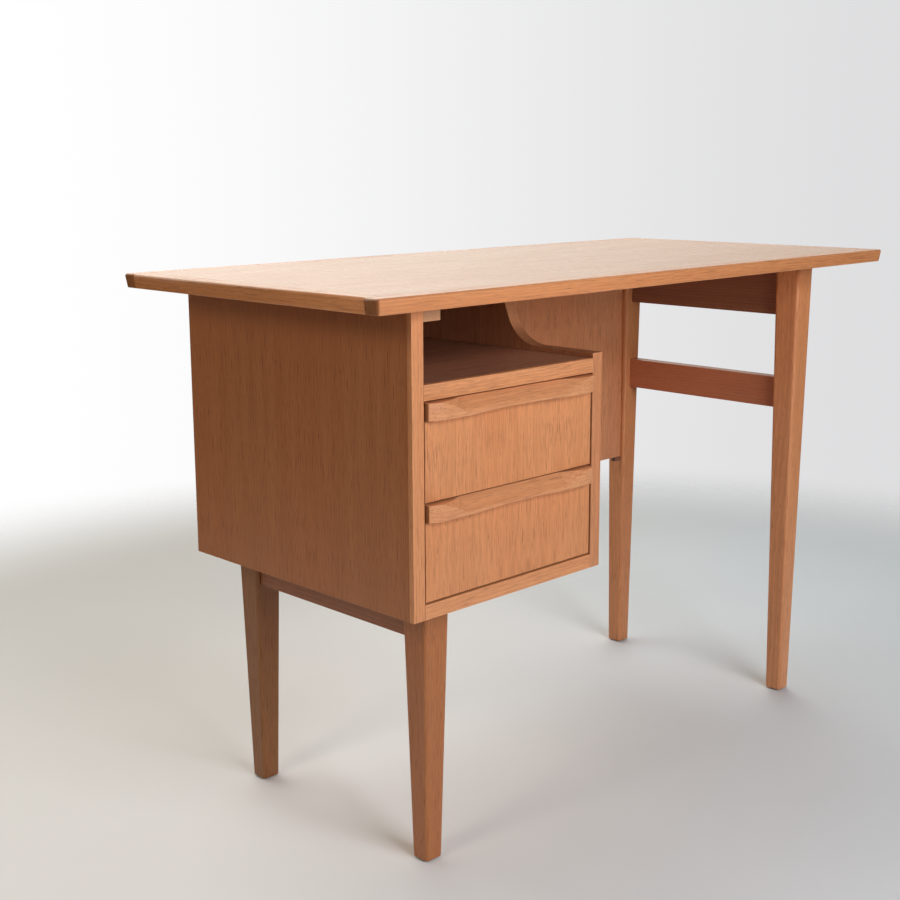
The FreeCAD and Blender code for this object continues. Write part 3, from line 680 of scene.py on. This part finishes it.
def make_handle(node, material):
    """Carved handle rail lofted through sections from end to end."""
    low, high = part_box(node)
    face_y = low.y + REACH
    half, middle = (high.x - low.x) / 2, (low.x + high.x) / 2
    close_run = CLOSE_COUNT * CLOSE_STEP
    run = list(END_TRIMS) + [index * CLOSE_STEP for index in range(1, CLOSE_COUNT)]
    run += [close_run + (half - close_run) * index / SPARSE_COUNT for index in range(1, SPARSE_COUNT + 1)]
    stations = [(-half + distance, distance) for distance in run]
    stations += [(half - distance, distance) for distance in reversed(run[:-1])]
    outlines = []
    for x, distance in stations:
        section = handle_section(distance, high.z - low.z, high.y - face_y, END_TRIMS.get(distance, 0.0))
        outlines.append([(middle + x, face_y + point.x, low.z + point.y) for point in section])
    work, sides = loft(outlines)
    for face in sides:
        face.smooth = True
    bmesh.ops.dissolve_degenerate(work, dist=0.002 * MM, edges=work.edges)
    piece = finish_piece(work, node, material)
    piece.data.set_sharp_from_angle(angle=HANDLE_CREASE)
    return piece


# ---------------------------------------------------------------- pieces

# Finish, grain, place of the pith, rounding of the arrises in millimetres, and group of tones.
BOARDS = {
    "cabinet_left_panel": ("veneer", "z", (0.20, 0.45), 0.4, "left panel"),
    "cabinet_right_panel": ("veneer", "z", (0.25, 0.40), 0.4, "right panel"),
    "left_panel_edge_strip": ("solid", "z", (0.03, 0.08), 0.6, "strip"),
    "right_panel_edge_strip": ("solid", "z", (0.04, 0.07), 0.6, "right strip"),
    "deck_edge_strip": ("solid", "x", (0.06, 0.03), 0.6, "strip"),
    "bottom_board_edge_strip": ("solid", "x", (0.05, 0.05), 0.6, "strip"),
    "cabinet_deck_board": ("veneer", "x", (0.40, 0.20), 0.3, "deck"),
    "cabinet_bottom_board": ("veneer", "x", (0.35, 0.25), 0.3, "plain"),
    "left_side_rail": ("rail", "y", (0.06, 0.09), 0.9, "side rail"),
    "right_upper_rail": ("rail", "y", (0.08, 0.07), 0.9, "upper rail"),
    "right_stretcher": ("rail", "y", (0.05, 0.10), 0.9, "stretcher"),
    "modesty_panel": ("veneer", "z", (0.30, 0.50), 0.5, "modesty"),
    "top_fixing_cleat": ("inner", "y", (0.05, 0.06), 0.5, "cleat"),
    "modesty_support_block": ("block", "x", (0.05, 0.06), 0.4, "plain"),
    "upper_drawer_front": ("veneer", "z", (0.14, 0.60), 0.5, "drawer"),
    "lower_drawer_front": ("veneer", "z", (0.18, 0.55), 0.5, "drawer"),
}
for storey in ("upper", "lower"):
    for board, grain in (("left_side", "y"), ("right_side", "y"), ("back", "x")):
        BOARDS[f"{storey}_drawer_{board}"] = ("inner", grain, (0.06, 0.08), 0.6, "plain")
CLEAT_THIRST = 0.1

make_top()
for side, x_pith in (("left", 0.06), ("right", -0.05)):
    for end, y_pith in (("front", 0.09), ("back", -0.07)):
        leg = f"{end}_{side}_leg"
        make_leg(leg, wood(leg, "solid", "z", (x_pith, y_pith), tone=TONES[f"{end} {side} leg"]))
for node, (finish, grain, pith, ease, group) in BOARDS.items():
    thirst = CLEAT_THIRST if group == "cleat" else 1.0
    # Drawer fronts are darkened further under the handle rails, a painted shadow.
    reach = HANDLE_SHADOW_REACH if group == "drawer" else DUST_AND_SHADE_REACH
    material = wood(node, finish, grain, pith, tone=TONES[group], thirst=thirst, reach=reach)
    make_board(node, material, ease * MM)
for storey in ("upper", "lower"):
    handle = f"{storey}_drawer_handle_rail"
    make_handle(handle, wood(handle, "solid", "x", (0.09, 0.02), tone=TONES["handle"]))

# The rest keep their CAD shape and get a finish.
glide_plastic = moulded_plastic("glide_plastic")
screw_steel = brushed_steel("screw_steel")
for node, item in nodes.items():
    if item.hide_render:
        continue
    if node == "leg_glides":
        material = glide_plastic
    elif node.endswith("_screws"):
        material = screw_steel
    elif "runner" in node:
        material = wood(node, "inner", "y")
    elif node == "cabinet_back_panel":
        material = wood(node, "plywood", "z", tone=TONES["back"])
    elif node.endswith("_bottom"):
        material = wood(node, "plywood", "x")
    else:
        material = wood(node, "inner", "y" if node == "rail_dowels" else "x")
    item.data.materials.clear()
    item.data.materials.append(material)


# ---------------------------------------------------------------- studio

# The floor is whole as far as FLOOR_START from the desk and fades until FLOOR_GONE, in metres.
FLOOR_START = 1.25
FLOOR_END = 2.1
FLOOR_SEGMENTS = 96
FLOOR_GONE = 0.96 * FLOOR_END
# The floor is painted lighter along this direction, a painted pool of light, between these two distances,
# under faint clouds.
FLOOR_LEFTWARD = (-0.72, 0.69, 0.0)
FLOOR_PAINTED_LIGHT_SPAN = (-0.9, 1.0)
FLOOR_SHADED_RIGHT = (0.73, 0.82, 0.88, 1.0)
FLOOR_LIT_LEFT = (0.95, 0.98, 0.99, 1.0)
FLOOR_ROUGHNESS = 0.75
CLOUD_STRETCH = (1.6, 1.6, 1.6)
CLOUD_SHOWS = (0.3, 0.75)
CLOUD_SHARE = 0.5
CLOUD_SHADE = (0.93, 0.93, 0.93, 1.0)
# Broad glows of the surround: azimuth, elevation, tightness and linear colour.
GLOWS = (
    (45.0, 12.0, 6.0, (1.14, 1.10, 1.00)),
    (15.0, 12.0, 6.0, (1.20, 1.09, 0.96)),
    (-10.0, 20.0, 4.0, (0.60, 0.50, 0.36)),
)
BLACK = (0.0, 0.0, 0.0, 1.0)
WALL_LEFT = (1.0, 1.0, 1.0, 1.0)
WALL_RIGHT = (0.73, 0.73, 0.74, 1.0)
# The wall dims towards this azimuth, and the glows end at the horizon.
WALL_RIGHTWARD = 134.0
WALL_DIMS = (-0.31, 0.36)
HORIZON = (-0.03, 0.01)
# Place, target, size, power in watts, colour and spread in degrees of each lamp.
LAMPS = {
    "key_low": ((-0.2, -2.3, 1.05), (0.0, 0.0, 0.70), (1.6, 0.6), 23.0, (1.0, 0.96, 0.98), 180.0),
    "key_high": ((-0.4, -2.0, 1.65), (0.0, 0.0, 0.60), (1.0, 0.5), 16.0, (1.0, 0.95, 0.97), 180.0),
    "low_fill": ((-0.25, -2.2, 0.70), (-0.30, 0.2, 0.69), (0.4, 0.4), 0.05, (1.0, 0.98, 1.0), 16.0),
    "left_fill": ((-3.0, -0.2, 2.0), (-0.3, 0.0, 0.5), (0.9, 0.9), 16.5, (1.0, 0.86, 0.70), 180.0),
    "ceiling": ((-0.5, 1.6, 2.4), (-0.5, 1.6, 0.0), (1.6, 1.6), 17.0, (1.0, 0.99, 0.96), 180.0),
    "right_wash": ((1.2, 0.5, 2.4), (1.0, 0.2, 0.0), (0.8, 0.8), 1.5, (1.0, 1.0, 1.0), 60.0),
}
# Place in metres, angles in degrees, lens and sensor width in millimetres.
CAMERA_PLACE = (-1.51214, -1.34393, 0.88730)
CAMERA_AZIMUTH = 44.32
CAMERA_PITCH = -11.07
CAMERA_ROLL = -0.30
CAMERA_LENS = 55.29
CAMERA_SENSOR = 36.0
CAMERA_SHIFT = (0.0092, -0.0247)
CAMERA_CLIP = (0.05, 200.0)


def make_floor():
    """Pale matt floor with painted light, lighter towards the left, that fades out into the wall behind it.
    """
    work = bmesh.new()
    bmesh.ops.create_circle(work, cap_ends=True, segments=FLOOR_SEGMENTS, radius=FLOOR_END)
    mesh = bpy.data.meshes.new("studio_floor")
    work.to_mesh(mesh)
    work.free()
    floor = bpy.data.objects.new("studio_floor", mesh)
    scene.collection.objects.link(floor)
    material, tree, shader = new_material("studio_floor")
    where = tree.nodes.new("ShaderNodeTexCoord").outputs["Object"]
    # Painted light: the floor colour is lighter towards the left.
    painted_light_left = remap(tree, agreement(tree, where, FLOOR_LEFTWARD), *FLOOR_PAINTED_LIGHT_SPAN)
    ground = blend_colour(tree, painted_light_left, FLOOR_SHADED_RIGHT, FLOOR_LIT_LEFT)
    clouds = remap(tree, stretched_noise(tree, where, CLOUD_STRETCH, detail=4.0), *CLOUD_SHOWS)
    clouds = math_node(tree, "MULTIPLY", clouds, CLOUD_SHARE)
    mottled = blend_colour(tree, clouds, ground, CLOUD_SHADE, "MULTIPLY")
    tree.links.new(mottled, shader.inputs["Base Color"])
    shader.inputs["Roughness"].default_value = FLOOR_ROUGHNESS
    distance = vector_math(tree, "LENGTH", where).outputs["Value"]
    fade = tree.nodes.new("ShaderNodeMixShader")
    tree.links.new(remap(tree, distance, FLOOR_START, FLOOR_GONE), fade.inputs[0])
    tree.links.new(shader.outputs[0], fade.inputs[1])
    tree.links.new(tree.nodes.new("ShaderNodeBsdfTransparent").outputs[0], fade.inputs[2])
    tree.links.new(fade.outputs[0], tree.nodes["Material Output"].inputs["Surface"])
    mesh.materials.append(material)


def make_world():
    """Light from broad glows behind the desk; the eye sees a wall that dims to the right."""
    world = bpy.data.worlds.new("studio")
    world.use_nodes = True
    scene.world = world
    tree = world.node_tree
    tree.nodes.clear()
    direction = tree.nodes.new("ShaderNodeTexCoord").outputs["Generated"]
    total = BLACK
    for azimuth, elevation, tightness, colour in GLOWS:
        toward = heading(azimuth, elevation)
        nearness = math_node(tree, "MAXIMUM", agreement(tree, direction, toward), 0.0)
        glow = math_node(tree, "POWER", nearness, tightness)
        total = blend_colour(tree, 1.0, total, blend_colour(tree, glow, BLACK, colour + (1.0,)), "ADD")
    above = remap(tree, agreement(tree, direction, (0.0, 0.0, 1.0)), *HORIZON)
    lit = tree.nodes.new("ShaderNodeBackground")
    tree.links.new(total, lit.inputs["Color"])
    tree.links.new(above, lit.inputs["Strength"])
    rightward = remap(tree, agreement(tree, direction, heading(WALL_RIGHTWARD, 0.0)), *WALL_DIMS)
    seen = add_node(tree, "ShaderNodeBackground", Strength=1.0)
    tree.links.new(blend_colour(tree, rightward, WALL_LEFT, WALL_RIGHT), seen.inputs["Color"])
    choice = tree.nodes.new("ShaderNodeMixShader")
    tree.links.new(tree.nodes.new("ShaderNodeLightPath").outputs["Is Camera Ray"], choice.inputs[0])
    tree.links.new(lit.outputs[0], choice.inputs[1])
    tree.links.new(seen.outputs[0], choice.inputs[2])
    tree.links.new(choice.outputs[0], tree.nodes.new("ShaderNodeOutputWorld").inputs["Surface"])


def make_lamp(name, place, target, size, power, colour, spread):
    """A soft rectangular lamp aimed at a point."""
    data = bpy.data.lights.new(name, "AREA")
    data.shape = "RECTANGLE"
    data.size, data.size_y = size
    data.energy = power
    data.color = colour
    data.spread = math.radians(spread)
    lamp = bpy.data.objects.new(name, data)
    lamp.location = place
    lamp.rotation_euler = (Vector(target) - Vector(place)).to_track_quat("-Z", "Y").to_euler()
    scene.collection.objects.link(lamp)


def make_camera():
    """Camera in front of the left end of the desk, looking slightly down along its diagonal."""
    forward = heading(CAMERA_AZIMUTH, CAMERA_PITCH)
    azimuth, roll = math.radians(CAMERA_AZIMUTH), math.radians(CAMERA_ROLL)
    level_right = Vector((math.cos(azimuth), -math.sin(azimuth), 0.0))
    level_up = level_right.cross(forward)
    right = level_right * math.cos(roll) + level_up * math.sin(roll)
    up = level_up * math.cos(roll) - level_right * math.sin(roll)
    turn = Matrix((right, up, -forward)).transposed()
    data = bpy.data.cameras.new("camera")
    data.sensor_width = CAMERA_SENSOR
    data.lens = CAMERA_LENS
    data.shift_x, data.shift_y = CAMERA_SHIFT
    data.clip_start, data.clip_end = CAMERA_CLIP
    camera = bpy.data.objects.new("camera", data)
    camera.matrix_world = Matrix.Translation(CAMERA_PLACE) @ turn.to_4x4()
    scene.collection.objects.link(camera)
    scene.camera = camera


make_floor()
make_world()
for name, settings in LAMPS.items():
    make_lamp(name, *settings)
make_camera()
scene.view_settings.view_transform = "Standard"
